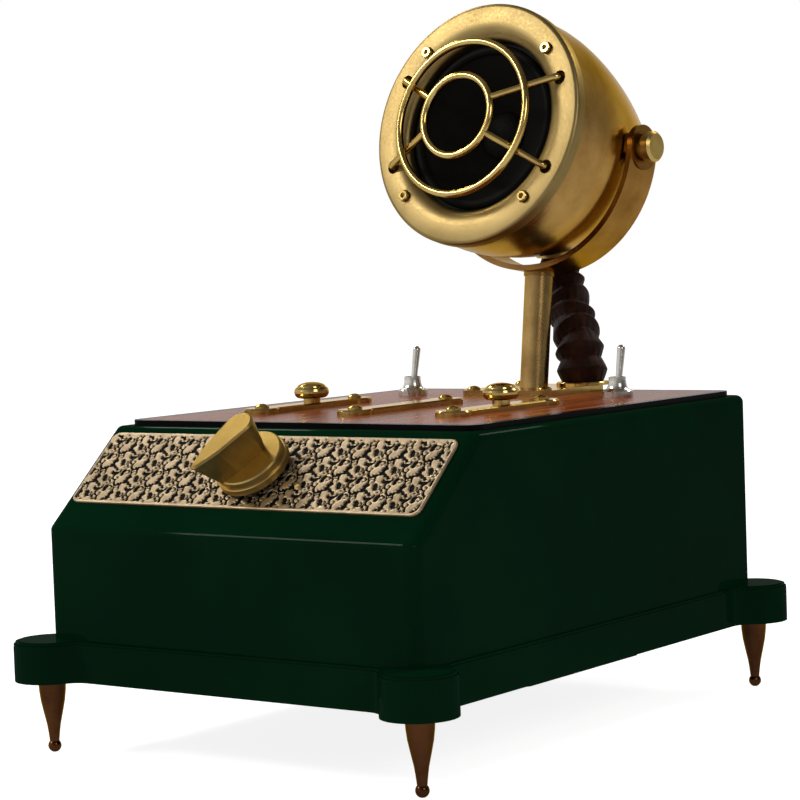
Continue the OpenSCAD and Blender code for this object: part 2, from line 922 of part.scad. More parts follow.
// Press buttons: domed cap with a groove, on a stem that enters its switch
module button(sx) {
    bulge_z = button_gap + 3;
    cap_z = button_h - 2.6;
    color("gold")
        translate([sx * bar_pitch, button_y, bar_top]) {
            rotate_extrude()
                polygon(concat(
                    [[0, button_gap], [button_r - 3, button_gap]],
                    [for (a = [-70 : 20 : 50]) [button_r - 2.6 + 2.6 * cos(a), bulge_z + 2.9 * sin(a)]],
                    [[button_r - 1.9, cap_z - 0.3]],
                    [for (a = [0 : 15 : 75]) [(button_r - 1.4) * cos(a), cap_z + (button_h - cap_z) * sin(a)]],
                    [[0, button_h]]
                ));
            translate([0, 0, button_stem_low - bar_top])
                cylinder(r = button_stem_r, h = bar_top - button_stem_low + button_gap + 0.1);
        }
}

module button_switch(sx) {
    color("dimgray")
        translate([sx * bar_pitch, button_y, board_low - button_switch_h])
            difference() {
                cylinder(r = button_switch_r, h = button_switch_h);
                translate([0, 0, button_switch_h - 5 - button_travel - loose_gap])
                    cylinder(r = button_stem_r + fit_gap, h = button_switch_h);
            }
}

module button_left() {
    button(-1);
}

module button_right() {
    button(1);
}

module button_left_switch() {
    button_switch(-1);
}

module button_right_switch() {
    button_switch(1);
}

// Plate under the post, with the hose's gland at its fourth corner
function base_screw_places() = [
    [-base_hole_x, base_y - base_hole_y], [base_hole_x, base_y - base_hole_y],
    [-base_hole_x, base_y + base_hole_y]
];

module base_plate() {
    w = base_w / 2;
    l = base_l / 2;
    c = base_corner;
    color("goldenrod")
        difference() {
            translate([0, base_y, board_z])
                linear_extrude(base_t)
                    polygon([
                        [-w + c, -l], [w - c, -l], [w, -l + c], [w, l - c],
                        [w - c, l], [-w + c, l], [-w, l - c], [-w, -l + c]
                    ]);
            for (p = base_screw_places())
                translate([p[0], p[1], board_z - 1])
                    cylinder(r = screw_hole_r, h = base_t + 2);
            translate([0, foot_y, board_z - 1])
                cylinder(r = spigot_r + fit_gap, h = base_t + 2);
            translate([hose_foot[0], hose_foot[1], board_z - 1])
                cylinder(r = gland_neck_r + fit_gap, h = base_t + 2);
        }
}

module base_plate_screws() {
    color("gold")
        for (p = base_screw_places())
            translate([p[0], p[1], base_top])
                rotate([0, 0, 20 + p[0]])
                    dome_screw(base_t + screw_grip);
}

// Post and yoke
module post() {
    color("goldenrod")
        difference() {
            union() {
                difference() {
                    translate([0, foot_y, base_top])
                        rotate([-post_rake, 0, 0])
                            translate([0, 0, -3])
                                cylinder(r = post_r, h = post_top + 3);
                    translate([-post_d, foot_y - post_d, base_top - 2 * post_d])
                        cube(2 * post_d);
                }
                translate([0, foot_y, spigot_low])
                    cylinder(r = spigot_r, h = base_top - spigot_low + 1);
            }
            translate([0, foot_y, base_top])
                rotate([-post_rake, 0, 0])
                    translate([0, 0, post_top - 14])
                        cylinder(r = 2.5, h = 15);
        }
}

module post_nut() {
    color("silver")
        translate([0, foot_y, board_low - 5])
            difference() {
                union() {
                    cylinder(r = 9, h = 4, $fn = 6);
                    translate([0, 0, 3.9])
                        cylinder(r = 10.5, h = 1.1);
                }
                translate([0, 0, -1])
                    cylinder(r = spigot_r + fit_gap, h = 8);
            }
}

module yoke() {
    color("darkgoldenrod")
        at_pivot()
            difference() {
                union() {
                    rotate([-90, 0, 0])
                        rotate_extrude(angle = 180)
                            translate([yoke_r, -yoke_w / 2])
                                square([yoke_t, yoke_w]);
                    for (sx = [-1, 1])
                        translate([sx * (yoke_r + yoke_t / 2), 0, 0])
                            rotate([0, 90, 0])
                                cylinder(d = yoke_w, h = yoke_t, center = true);
                    translate([0, 0, -yoke_out_r - yoke_pad_t])
                        cylinder(r = post_r + 0.6, h = yoke_pad_t + 1);
                }
                rotate([0, 90, 0])
                    cylinder(r = clamp_hole_r, h = 4 * yoke_r, center = true);
                rotate([0, 90, 0])
                    cylinder(r = yoke_w / 2 - 0.4, h = 2 * yoke_r, center = true);
                translate([0, 0, -yoke_out_r - yoke_pad_t - 1])
                    cylinder(r = 2.5 + fit_gap, h = 10);
                translate([0, 0, -yoke_r - 3.5])
                    cylinder(r1 = 2.5 + fit_gap, r2 = 5.5, h = 3);
                translate([0, 0, -yoke_r - 0.5])
                    cylinder(r = 5.5, h = 4);
            }
}

module yoke_screw() {
    color("gray")
        at_pivot()
            difference() {
                union() {
                    translate([0, 0, -yoke_out_r - yoke_pad_t - 11])
                        cylinder(r = 2.45, h = 14);
                    translate([0, 0, -yoke_r - 3.4])
                        cylinder(r1 = 2.45, r2 = 5.3, h = 2.8);
                }
                translate([0, 0, -yoke_r - 2.4])
                    cylinder(r = 1.7, h = 4, $fn = 6);
            }
}

module clamp_knob(sx) {
    face = yoke_out_r + seat_gap;
    color("goldenrod")
        at_pivot()
            rotate([0, sx * 90, 0]) {
                translate([0, 0, face])
                    cylinder(d = clamp_d - 4, h = 1.6);
                translate([0, 0, face + 1.5])
                    cylinder(d1 = clamp_d - 1.6, d2 = clamp_d, h = 0.8);
                translate([0, 0, face + 2.2])
                    bevel_disc(clamp_d / 2, clamp_l - 2.2, 1.2);
                translate([0, 0, stud_tip])
                    cylinder(r = clamp_stud_r, h = face - stud_tip + 0.5);
            }
}

module clamp_knob_left() {
    clamp_knob(-1);
}

module clamp_knob_right() {
    clamp_knob(1);
}

module clamp_washers() {
    color("black")
        at_pivot()
            for (sx = [-1, 1])
                rotate([0, sx * 90, 0])
                    translate([0, 0, boss_end + seat_gap])
                        difference() {
                            cylinder(r = 7.5, h = yoke_r - boss_end - 2 * seat_gap);
                            translate([0, 0, -1])
                                cylinder(r = clamp_stud_r + 0.2, h = 3);
                        }
}

// Head: the radius of the shell's skin at a distance s in front of the pivot
function shell_share(s) = min(1, max(0, (shell_straight - s) / shell_rear));
function shell_radius(s) = shell_r * pow(1 - pow(shell_share(s), neck_power), 1 / neck_power);
shell_tail = shell_straight - shell_rear;
shell_places = [for (i = [1 : shell_steps])
    shell_straight - shell_rear * sin(90 * i / (shell_steps + 0.4))];

module shell_skin(grow = 0) {
    rotate_extrude()
        polygon(concat(
            [[0, shell_front], [shell_r + grow, shell_front], [shell_r + grow, shell_straight]],
            [for (s = shell_places) [shell_radius(s) + grow, s]],
            [[0, shell_places[shell_steps - 1] - grow]]
        ));
}

module shell_hollow() {
    inner = [for (s = shell_places) if (shell_radius(s) > 2.5 * shell_t) [shell_radius(s) - shell_t, s + shell_t * 0.5]];
    rotate_extrude()
        polygon(concat(
            [[0, shell_front - shell_lip_t], [shell_r - shell_t, shell_front - shell_lip_t]],
            [[shell_r - shell_t, shell_straight]],
            inner,
            [[0, inner[len(inner) - 1][1]]]
        ));
}

module head_shell() {
    color("goldenrod")
        in_head()
            difference() {
                union() {
                    difference() {
                        shell_skin();
                        shell_hollow();
                        translate([0, 0, shell_front - shell_lip_t - 1])
                            cylinder(r = shell_lip_r, h = shell_lip_t + 2);
                    }
                    for (sx = [-1, 1])
                        rotate([0, sx * 90, 0])
                            translate([0, 0, stud_tip - 1])
                                cylinder(r = boss_r, h = boss_end - stud_tip + 1);
                }
                rotate([0, 90, 0])
                    cylinder(r = clamp_hole_r, h = 4 * shell_r, center = true);
                for (a = [45 : 90 : 315])
                    rotate([0, 0, a + ring_turn])
                        translate([ring_holes_r, 0, shell_front - shell_lip_t - 1])
                            cylinder(r = screw_hole_r, h = shell_lip_t + 2);
                for (a = spoke_angles())
                    rotate([0, 0, a + ring_turn])
                        translate([ring_holes_r, 0, shell_front - shell_lip_t - 1])
                            cylinder(r = wire_d / 2 + fit_gap, h = shell_lip_t + 2);
                hose_seat_frame()
                    cylinder(r = 7 + fit_gap, h = 30, center = true);
            }
}

module front_ring() {
    round_r = 2;
    color("darkgoldenrod")
        in_ring()
            difference() {
                rotate_extrude()
                    polygon(concat(
                        [[opening_r, shell_front], [ring_r - 1, shell_front], [ring_r, shell_front + 1]],
                        [for (a = [0 : 15 : 90])
                            [ring_r - round_r * (1 - cos(a)), ring_face - round_r * (1 - sin(a))]],
                        [for (a = [0 : 15 : 90])
                            [ring_edge_r - (ring_edge_r - opening_r) * sin(a), ring_face - ring_lip * (1 - cos(a))]]
                    ));
                for (a = [45 : 90 : 315])
                    rotate([0, 0, a])
                        translate([ring_holes_r, 0, shell_front - 1]) {
                            cylinder(r = screw_hole_r, h = ring_t + 2);
                            translate([0, 0, ring_t + 1 - socket_sunk])
                                cylinder(r = sunk_r, h = 6);
                        }
                for (a = spoke_angles())
                    rotate([0, 0, a])
                        translate([ring_holes_r, 0, shell_front - 1]) {
                            cylinder(r = wire_d / 2 + fit_gap, h = ring_t + 2);
                            translate([0, 0, ring_t + 1 - guard_hole_deep])
                                cylinder(r = guard_hole_r, h = 6);
                        }
            }
}

module front_ring_screws() {
    color("gold")
        in_ring()
            for (a = [45 : 90 : 315])
                rotate([0, 0, a])
                    translate([ring_holes_r, 0, ring_face - socket_sunk])
                        difference() {
                            union() {
                                bevel_disc(socket_r, socket_h, 0.4);
                                translate([0, 0, -ring_t - 1.6])
                                    cylinder(r = screw_r, h = ring_t + 1.7);
                            }
                            translate([0, 0, socket_h - 1.6])
                                cylinder(r = 1.5, h = 3, $fn = 6);
                        }
}

// Wire guard: two rings carried by four bent spokes
function spoke_angles() = [spoke_angle, 180 - spoke_angle, 180 + spoke_angle, 360 - spoke_angle];

module wire(from, to) {
    d = to - from;
    translate(from)
        rotate([0, atan2(d[0], d[2]), 0])
            translate([0, 0, -0.3])
                cylinder(d = spoke_d - 0.1, h = norm(d) + 0.6);
}

module wire_guard() {
    under = guard_big_out - wire_d + spoke_weld;
    lean = atan((guard_small_out - under) / (guard_big_r - guard_small_r));
    bend_x = ring_holes_r - spoke_bend;
    tangent_x = bend_x + spoke_bend * sin(lean);
    tangent_z = ring_face + under - tan(lean) * (tangent_x - guard_big_r);
    bend_z = tangent_z - spoke_bend * cos(lean);
    color("gold")
        in_ring() {
            for (g = [[guard_big_r, guard_big_out], [guard_small_r, guard_small_out]])
                translate([0, 0, ring_face + g[1]])
                    rotate_extrude()
                        translate([g[0], 0])
                            circle(d = wire_d);
            for (a = spoke_angles())
                rotate([0, 0, a]) {
                    wire([guard_small_r, 0, ring_face + guard_small_out], [tangent_x, 0, tangent_z]);
                    translate([bend_x, 0, bend_z])
                        rotate([90, 0, 0])
                            rotate_extrude(angle = 90 - lean)
                                translate([spoke_bend, 0])
                                    circle(d = spoke_d);
                    wire([ring_holes_r, 0, bend_z], [ring_holes_r, 0, shell_front - 1.7]);
                }
        }
}

// Loudspeaker driver behind the opening: its frame's front face is at driver_z
module driver_basket() {
    back = magnet_front + frame_t;
    color("dimgray")
        in_head()
            difference() {
                rotate_extrude()
                    polygon([
                        [frame_r, driver_z], [frame_r, driver_z - frame_t], [44, driver_z - frame_t], [31, back],
                        [31, magnet_front], [14, magnet_front], [14, back], [29.6, back],
                        [41, driver_z - frame_t], [41, driver_z]
                    ]);
                for (a = [0 : 60 : 300])
                    rotate([0, 0, a])
                        translate([37, 0, (driver_z + magnet_front) / 2])
                            rotate([0, -60, 0])
                                cylinder(d = 15, h = 16, center = true);
            }
}

module driver_gasket() {
    color("black")
        in_head()
            translate([0, 0, driver_z])
                difference() {
                    cylinder(r = frame_r - 0.2, h = gasket_t);
                    translate([0, 0, -1])
                        cylinder(r = surround_r + 0.1, h = 3);
                }
}

module driver_surround() {
    mid = (cone_r + 41) / 2;
    roll = (41 - cone_r) / 2;
    sheet = 0.4;
    color("black")
        in_head()
            translate([0, 0, driver_z])
                rotate_extrude()
                    polygon(concat(
                        [[surround_r, sheet]],
                        [for (a = [0 : 20 : 180]) [mid + roll * cos(a), sheet + 2 * sin(a)]],
                        [for (a = [180 : -20 : 0])
                            [mid + (roll - 1.5 * sheet) * cos(a), (2 - 1.5 * sheet) * sin(a)]],
                        [[surround_r, 0]]
                    ));
}

module driver_cone() {
    color("black")
        in_head() {
            rotate_extrude()
                polygon([
                    [cone_r, driver_z - 0.6], [cone_r, driver_z + 0.3],
                    [12, cone_back + 0.9], [12, cone_back]
                ]);
            translate([0, 0, cone_back])
                rotate_extrude()
                    polygon(concat(
                        [[12, 0]],
                        [for (a = [0 : 15 : 90]) [12 * cos(a), 0.9 + 5 * sin(a)]],
                        [[0, 0]]
                    ));
            translate([0, 0, magnet_front - 4])
                difference() {
                    cylinder(r = 12, h = cone_back - magnet_front + 4.5);
                    translate([0, 0, -1])
                        cylinder(r = 11.4, h = cone_back - magnet_front + 4.5);
                }
        }
}

module driver_magnet() {
    color("gray")
        in_head()
            translate([0, 0, magnet_front - magnet_t])
                difference() {
                    cylinder(r = magnet_r, h = magnet_t);
                    translate([0, 0, 3])
                        difference() {
                            cylinder(r = 12.6, h = magnet_t);
                            cylinder(r = 10.8, h = magnet_t - 3);
                        }
                }
}

// Hose from the plate to the head, swept along a curve, with its ends square to their seats
hose_pull = 26;
function curve_at(t) =
    hose_start * pow(1 - t, 3)
    + (hose_start + [0, 0, hose_pull]) * 3 * t * pow(1 - t, 2)
    + (hose_end - hose_top_dir * hose_pull) * 3 * t * t * (1 - t)
    + hose_end * pow(t, 3);
function curve_dir(t) =
    let (d = [0, 0, hose_pull] * pow(1 - t, 2)
        + (hose_end - hose_top_dir * hose_pull - hose_start - [0, 0, hose_pull]) * 2 * t * (1 - t)
        + hose_top_dir * hose_pull * t * t)
    d / norm(d);
hose_rings = hose_ribs * rings_per_rib;
function rib_radius(i) =
    hose_r + hose_taper * (1 - 2 * i / hose_rings)
    - hose_fold / 2 * (1 + cos(360 * i / rings_per_rib));
function ring_points(t, r) =
    let (
        d = curve_dir(t),
        u = cross([0, 1, 0], d) / norm(cross([0, 1, 0], d)),
        v = cross(d, u)
    )
    [for (k = [0 : hose_sides - 1])
        let (a = 360 * k / hose_sides)
        curve_at(t) + r * (cos(a) * u + sin(a) * v)];

module hose() {
    n = hose_sides;
    m = hose_rings;
    outer = [for (i = [0 : m]) each ring_points(i / m, rib_radius(i))];
    inner = [for (i = [0 : m]) each ring_points(i / m, hose_bore_r)];
    base = (m + 1) * n;
    outer_faces = [for (i = [0 : m - 1], k = [0 : n - 1])
        let (a = i * n + k, b = i * n + (k + 1) % n)
        each [[a, a + n, b], [b, a + n, b + n]]];
    inner_faces = [for (i = [0 : m - 1], k = [0 : n - 1])
        let (a = base + i * n + k, b = base + i * n + (k + 1) % n)
        each [[a, b, a + n], [b, b + n, a + n]]];
    end_faces = [for (k = [0 : n - 1])
        let (j = (k + 1) % n, top = m * n)
        each [
            [k, j, base + k], [j, base + j, base + k],
            [top + k, base + top + k, top + j], [top + j, base + top + k, base + top + j]
        ]];
    color("saddlebrown")
        polyhedron(concat(outer, inner), concat(outer_faces, inner_faces, end_faces));
}

module hose_gland() {
    color("goldenrod")
        translate([hose_foot[0], hose_foot[1], 0])
            difference() {
                union() {
                    translate([0, 0, base_top])
                        bevel_disc(gland_r, gland_t, 0.5);
                    translate([0, 0, board_low - ledge_t])
                        cylinder(r = gland_neck_r, h = base_top - board_low + ledge_t + 0.1);
                }
                translate([0, 0, board_low - 7])
                    cylinder(r = cable_bore_r, h = 30);
            }
}

// Seat of the hose on the head, its z axis pointing into the shell
module hose_seat_frame() {
    rotate([-90, 0, 0])
        rotate([head_tilt - post_rake, 0, 0])
            translate([0, 0, -post_line])
                rotate([0, 0, -head_turn])
                    rotate([post_rake, 0, 0])
                        translate([0, -foot_y, -base_top])
                            translate(hose_top)
                                rotate([-atan2(hose_top_dir[1], hose_top_dir[2]), 0, 0])
                                    children();
}

module hose_ferrule() {
    color("goldenrod")
        in_head()
            difference() {
                hose_seat_frame()
                    translate([0, 0, -ferrule_l])
                        cylinder(r = ferrule_r, h = ferrule_l + 8);
                shell_skin(seat_gap);
                hose_seat_frame()
                    cylinder(r = cable_bore_r, h = 60, center = true);
            }
}

// Inside the case
module amplifier_board() {
    color("darkgreen")
        translate([amp_at[0], amp_at[1], case_z + standoff_h]) {
            difference() {
                translate([-amp_w / 2, -amp_d / 2, 0])
                    cube([amp_w, amp_d, 1.6]);
                for (sx = [-1, 1], sy = [-1, 1])
                    translate([sx * (amp_w / 2 - 4), sy * (amp_d / 2 - 4), -1])
                        cylinder(r = screw_hole_r, h = 4);
            }
            translate([-24, -14, 1.5])
                cube([26, 28, 12]);
            for (x = [10, 22])
                translate([x, 12, 1.5])
                    cylinder(d = 10, h = 14);
            translate([12, -18, 1.5])
                cube([18, 10, 6]);
        }
}

module amplifier_standoffs() {
    color("gold")
        for (sx = [-1, 1], sy = [-1, 1])
            translate([amp_at[0] + sx * (amp_w / 2 - 4), amp_at[1] + sy * (amp_d / 2 - 4), case_z]) {
                cylinder(r = 3, h = standoff_h, $fn = 6);
                translate([0, 0, -4])
                    cylinder(r = screw_r, h = 4.1);
                translate([0, 0, standoff_h - 0.1])
                    cylinder(r = screw_r, h = 1.8);
                translate([0, 0, standoff_h + 1.6])
                    cylinder(r = 2.8, h = 1.8);
            }
}

module battery_pack() {
    cell_r = battery_size[2] / 2;
    color("steelblue")
        translate([battery_at[0], battery_at[1], case_z])
            rotate([90, 0, 0])
                linear_extrude(battery_size[1], center = true) {
                    for (x = [-1 : 1])
                        translate([x * (battery_size[0] / 2 - cell_r), cell_r])
                            circle(cell_r);
                    translate([-battery_size[0] / 2 + cell_r, 0])
                        square([battery_size[0] - 2 * cell_r, 2 * cell_r]);
                }
}

module rear_panel() {
    color("goldenrod")
        translate([0, rear_y + panel_t, panel_z])
            rotate([90, 0, 0])
                difference() {
                    linear_extrude(panel_t)
                        round_rect(panel_w, panel_h, 3);
                    translate([power_x, 0, -1])
                        cylinder(r = 5.5 + fit_gap, h = 4);
                    translate([audio_x, 0, -1])
                        cylinder(r = 4 + fit_gap, h = 4);
                    for (sx = [-1, 1], sy = [-1, 1])
                        translate([sx * (panel_w / 2 - 4), sy * (panel_h / 2 - 4), -1])
                            cylinder(r = screw_hole_r, h = 4);
                }
}

module rear_panel_screws() {
    color("gold")
        for (sx = [-1, 1], sz = [-1, 1])
            translate([sx * (panel_w / 2 - 4), rear_y + panel_t, panel_z + sz * (panel_h / 2 - 4)])
                rotate([-90, 0, 0])
                    rotate([0, 0, 30 * sx + 20 * sz])
                        dome_screw(5);
}

// Panel socket: a collar through the panel with a wider body behind it and a round plug hole
module panel_socket(x, collar_r, hole_r) {
    color("dimgray")
        translate([x, rear_y + panel_t + 1, panel_z])
            rotate([90, 0, 0])
                difference() {
                    union() {
                        cylinder(r = collar_r + 1, h = 1);
                        cylinder(r = collar_r, h = panel_t + 2);
                        translate([0, 0, panel_t + 1])
                            cylinder(r = collar_r + 1.5, h = socket_l);
                    }
                    translate([0, 0, -1])
                        cylinder(r = hole_r, h = socket_l - 1);
                }
}

module power_socket() {
    panel_socket(power_x, 5.5, power_hole_r);
}

module audio_socket() {
    panel_socket(audio_x, 4, audio_hole_r);
}

case_shell();
plinth();
top_board();
bottom_cover();
bottom_cover_screws();
leg_front_left();
leg_front_right();
leg_rear_left();
leg_rear_right();
ornament_plate();
index_stud();
control_knob();
knob_grub_screw();
pot_shaft();
pot_body();
pot_nut();
toggle_left_body();
toggle_left_nut();
toggle_left_lever();
toggle_right_body();
toggle_right_nut();
toggle_right_lever();
bar_left();
bar_middle();
bar_right();
bar_screws();
button_left();
button_right();
button_left_switch();
button_right_switch();
base_plate();
base_plate_screws();
post();
post_nut();
yoke();
yoke_screw();
clamp_knob_left();
clamp_knob_right();
clamp_washers();
head_shell();
front_ring();
front_ring_screws();
wire_guard();
driver_basket();
driver_gasket();
driver_surround();
driver_cone();
driver_magnet();
hose();
hose_gland();
hose_ferrule();
amplifier_board();
amplifier_standoffs();
battery_pack();
rear_panel();
rear_panel_screws();
power_socket();
audio_socket();
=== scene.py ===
import json
import math

import bmesh
import bpy
import numpy as np
from mathutils import Matrix, Vector

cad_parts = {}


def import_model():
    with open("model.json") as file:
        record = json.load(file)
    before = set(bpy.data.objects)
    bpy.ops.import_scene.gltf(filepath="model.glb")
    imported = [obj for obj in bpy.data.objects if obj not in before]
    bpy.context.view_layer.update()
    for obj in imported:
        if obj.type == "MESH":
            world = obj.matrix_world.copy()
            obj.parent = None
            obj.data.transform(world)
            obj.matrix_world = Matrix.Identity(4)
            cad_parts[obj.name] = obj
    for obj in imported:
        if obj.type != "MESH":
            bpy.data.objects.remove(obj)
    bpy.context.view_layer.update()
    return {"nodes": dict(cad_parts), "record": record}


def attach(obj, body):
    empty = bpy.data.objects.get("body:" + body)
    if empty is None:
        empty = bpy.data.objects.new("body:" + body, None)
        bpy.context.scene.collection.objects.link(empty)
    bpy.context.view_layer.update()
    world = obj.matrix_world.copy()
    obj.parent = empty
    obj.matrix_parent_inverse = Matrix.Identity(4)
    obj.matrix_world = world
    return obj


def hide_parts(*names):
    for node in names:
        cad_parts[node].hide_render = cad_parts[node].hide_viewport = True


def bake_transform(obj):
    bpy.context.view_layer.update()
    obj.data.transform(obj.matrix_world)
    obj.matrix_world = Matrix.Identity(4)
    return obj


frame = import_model()
NODES = frame["nodes"]
MM = 0.001

# Sizes and places of the solids that the pieces here follow, in millimetres and degrees
CASE_D = 277.0
BREAK_Z = 100.9
TOP_Z = 142.4
SLOPE_RUN = 46.8
SLOPE_ANGLE = math.degrees(math.atan2(TOP_Z - BREAK_Z, SLOPE_RUN))
PLATE_W = 192.0
PLATE_H = 42.5
PLATE_UP = 15.0
PLATE_T = 1.2
KNOB_GAP = 2.3
BOARD_W = 193.0
BOARD_FRONT_Y = -87.7
BOARD_REAR_Y = 133.5
BOARD_MIDDLE_Y = (BOARD_FRONT_Y + BOARD_REAR_Y) / 2
BOARD_D = BOARD_REAR_Y - BOARD_FRONT_Y
POST_FOOT = (0.0, 105.2, 147.8)
POST_RAKE = 8.0
POST_LINE = 116.7
HEAD_TURN = -2.6
HEAD_TILT = 14.4


# Frames of the object, as 4x4 matrices in metres
def turn(axis, degrees):
    return Matrix.Rotation(math.radians(degrees), 4, axis)


def move(x, y, z):
    return Matrix.Translation(Vector((x, y, z)) * MM)


SLOPE = move(0, -CASE_D / 2, BREAK_Z) @ turn("X", SLOPE_ANGLE)
PLATE = SLOPE @ move(0, PLATE_UP + PLATE_H / 2, 0)
KNOB = PLATE @ move(0, 0, PLATE_T + KNOB_GAP)
PIVOT = move(*POST_FOOT) @ turn("X", -POST_RAKE) @ turn("Z", HEAD_TURN) @ move(0, 0, POST_LINE)
HEAD = PIVOT @ turn("X", POST_RAKE - HEAD_TILT) @ turn("X", 90)

# Camera at the photograph's place: metres, radians, and millimetres for the lens and sensor
CAMERA_PLACE = (0.6862, -0.9339, 0.2186)
CAMERA_YAW = 0.637376227
CAMERA_PITCH = 0.0602030698
CAMERA_ROLL = 0.0353992317
CAMERA_LENS = 112.57
CAMERA_SENSOR = 36.0
CAMERA_NEAR = 0.05


def camera():
    cos_yaw, sin_yaw = math.cos(CAMERA_YAW), math.sin(CAMERA_YAW)
    cos_pitch, sin_pitch = math.cos(CAMERA_PITCH), math.sin(CAMERA_PITCH)
    cos_roll, sin_roll = math.cos(CAMERA_ROLL), math.sin(CAMERA_ROLL)
    forward = Vector((-sin_yaw * cos_pitch, cos_yaw * cos_pitch, -sin_pitch))
    level = Vector((cos_yaw, sin_yaw, 0.0))
    down = forward.cross(level)
    right = cos_roll * level + sin_roll * down
    up = sin_roll * level - cos_roll * down
    cam = bpy.data.cameras.new("camera")
    cam.lens = CAMERA_LENS
    cam.sensor_width = CAMERA_SENSOR
    cam.clip_start = CAMERA_NEAR
    obj = bpy.data.objects.new("camera", cam)
    axes = Matrix((right, up, -forward)).transposed().to_4x4()
    obj.matrix_world = Matrix.Translation(CAMERA_PLACE) @ axes
    bpy.context.scene.collection.objects.link(obj)
    bpy.context.scene.camera = obj


camera()


# Node trees
class Tree:
    """A short way to write a node tree."""

    def __init__(self, tree):
        self.tree = tree

    def add(self, kind):
        return self.tree.nodes.new("ShaderNode" + kind)

    def link(self, a, b):
        self.tree.links.new(a, b)

    def feed(self, socket, value):
        """Give a socket its value: another node's output, a colour or a number."""
        if isinstance(value, bpy.types.NodeSocket):
            self.link(value, socket)
        elif isinstance(value, tuple):
            socket.default_value = (*value, 1.0)
        else:
            socket.default_value = value

    def maths(self, operation, *values):
        node = self.add("Math")
        node.operation = operation
        for socket, value in zip(node.inputs, values):
            self.feed(socket, value)
        return node.outputs[0]

    def spread(self, fac, low, high, start=0.0, end=1.0):
        """From low to high as fac goes from start to end."""
        node = self.add("MapRange")
        node.inputs["From Min"].default_value = start
        node.inputs["From Max"].default_value = end
        node.inputs["To Min"].default_value = low
        node.inputs["To Max"].default_value = high
        self.link(fac, node.inputs["Value"])
        return node.outputs["Result"]

    def mix_shaders(self, fac, a, b):
        node = self.add("MixShader")
        for socket, value in zip(node.inputs, (fac, a, b)):
            self.link(value, socket)
        return node.outputs[0]


class Finish(Tree):
    """A material with one Principled shader. Its patterns follow the object's own axes."""

    def __init__(self, name):
        self.mat = bpy.data.materials.new(name)
        self.mat.use_nodes = True
        super().__init__(self.mat.node_tree)
        self.bsdf = self.tree.nodes["Principled BSDF"]

    def set(self, **values):
        for key, value in values.items():
            self.bsdf.inputs[key.replace("_", " ")].default_value = value

    def to(self, output, name):
        self.link(output, self.bsdf.inputs[name])

    def coords(self, scale=(1, 1, 1)):
        mapping = self.add("Mapping")
        mapping.inputs["Scale"].default_value = scale
        self.link(self.add("TexCoord").outputs["Object"], mapping.inputs["Vector"])
        return mapping.outputs["Vector"]

    def noise(self, vector, scale, detail=4.0, roughness=0.55, distortion=0.0):
        node = self.add("TexNoise")
        node.inputs["Scale"].default_value = scale
        node.inputs["Detail"].default_value = detail
        node.inputs["Roughness"].default_value = roughness
        node.inputs["Distortion"].default_value = distortion
        self.link(vector, node.inputs["Vector"])
        return node.outputs["Fac"]

    def ramp(self, fac, *stops):
        """A colour for each place of fac: stops are pairs of a place and a colour."""
        node = self.add("ValToRGB")
        ramp = node.color_ramp
        while len(ramp.elements) < len(stops):
            ramp.elements.new(0.5)
        for element, (place, colour) in zip(ramp.elements, stops):
            element.position = place
            element.color = (*colour, 1.0)
        self.link(fac, node.inputs["Fac"])
        return node.outputs["Color"]

    def mix(self, fac, a, b, blend="MIX"):
        node = self.add("Mix")
        node.data_type = "RGBA"
        node.blend_type = blend
        self.feed(node.inputs[0], fac)
        self.feed(node.inputs[6], a)
        self.feed(node.inputs[7], b)
        return node.outputs[2]

    def bump(self, height, strength, distance):
        node = self.add("Bump")
        node.inputs["Strength"].default_value = strength
        node.inputs["Distance"].default_value = distance
        self.link(height, node.inputs["Height"])
        self.to(node.outputs["Normal"], "Normal")

    def outside_rectangle(self, middle_y, half_w, half_d):
        """1 outside a rectangle of the object's own x and y about (0, middle_y), in millimetres."""
        split = self.add("SeparateXYZ")
        self.link(self.add("TexCoord").outputs["Object"], split.inputs[0])
        from_middle = self.maths("SUBTRACT", split.outputs["Y"], middle_y * MM)
        over_x = self.maths("SUBTRACT", self.maths("ABSOLUTE", split.outputs["X"]), half_w * MM)
        over_y = self.maths("SUBTRACT", self.maths("ABSOLUTE", from_middle), half_d * MM)
        return self.maths("GREATER_THAN", self.maths("MAXIMUM", over_x, over_y), 0.0)


# Painted, wooden and soft materials
BOARD_LINE = 4.5
BOARD_LINE_BLACK = (0.004, 0.003, 0.003)


def green_lacquer():
    n = Finish("green_lacquer")
    cloud = n.noise(n.coords(), 14.0, 3.0)
    speck = n.noise(n.coords(), 900.0, 2.0)
    n.to(n.ramp(cloud, (0.3, (0.0007, 0.0125, 0.0043)), (0.7, (0.0011, 0.0178, 0.0062))), "Base Color")
    n.to(n.spread(cloud, 0.12, 0.20), "Roughness")
    n.bump(speck, 0.04, 0.0002)
    n.set(IOR=1.5, Specular_IOR_Level=0.0, Coat_Weight=0.030, Coat_Roughness=0.04)
    return n.mat


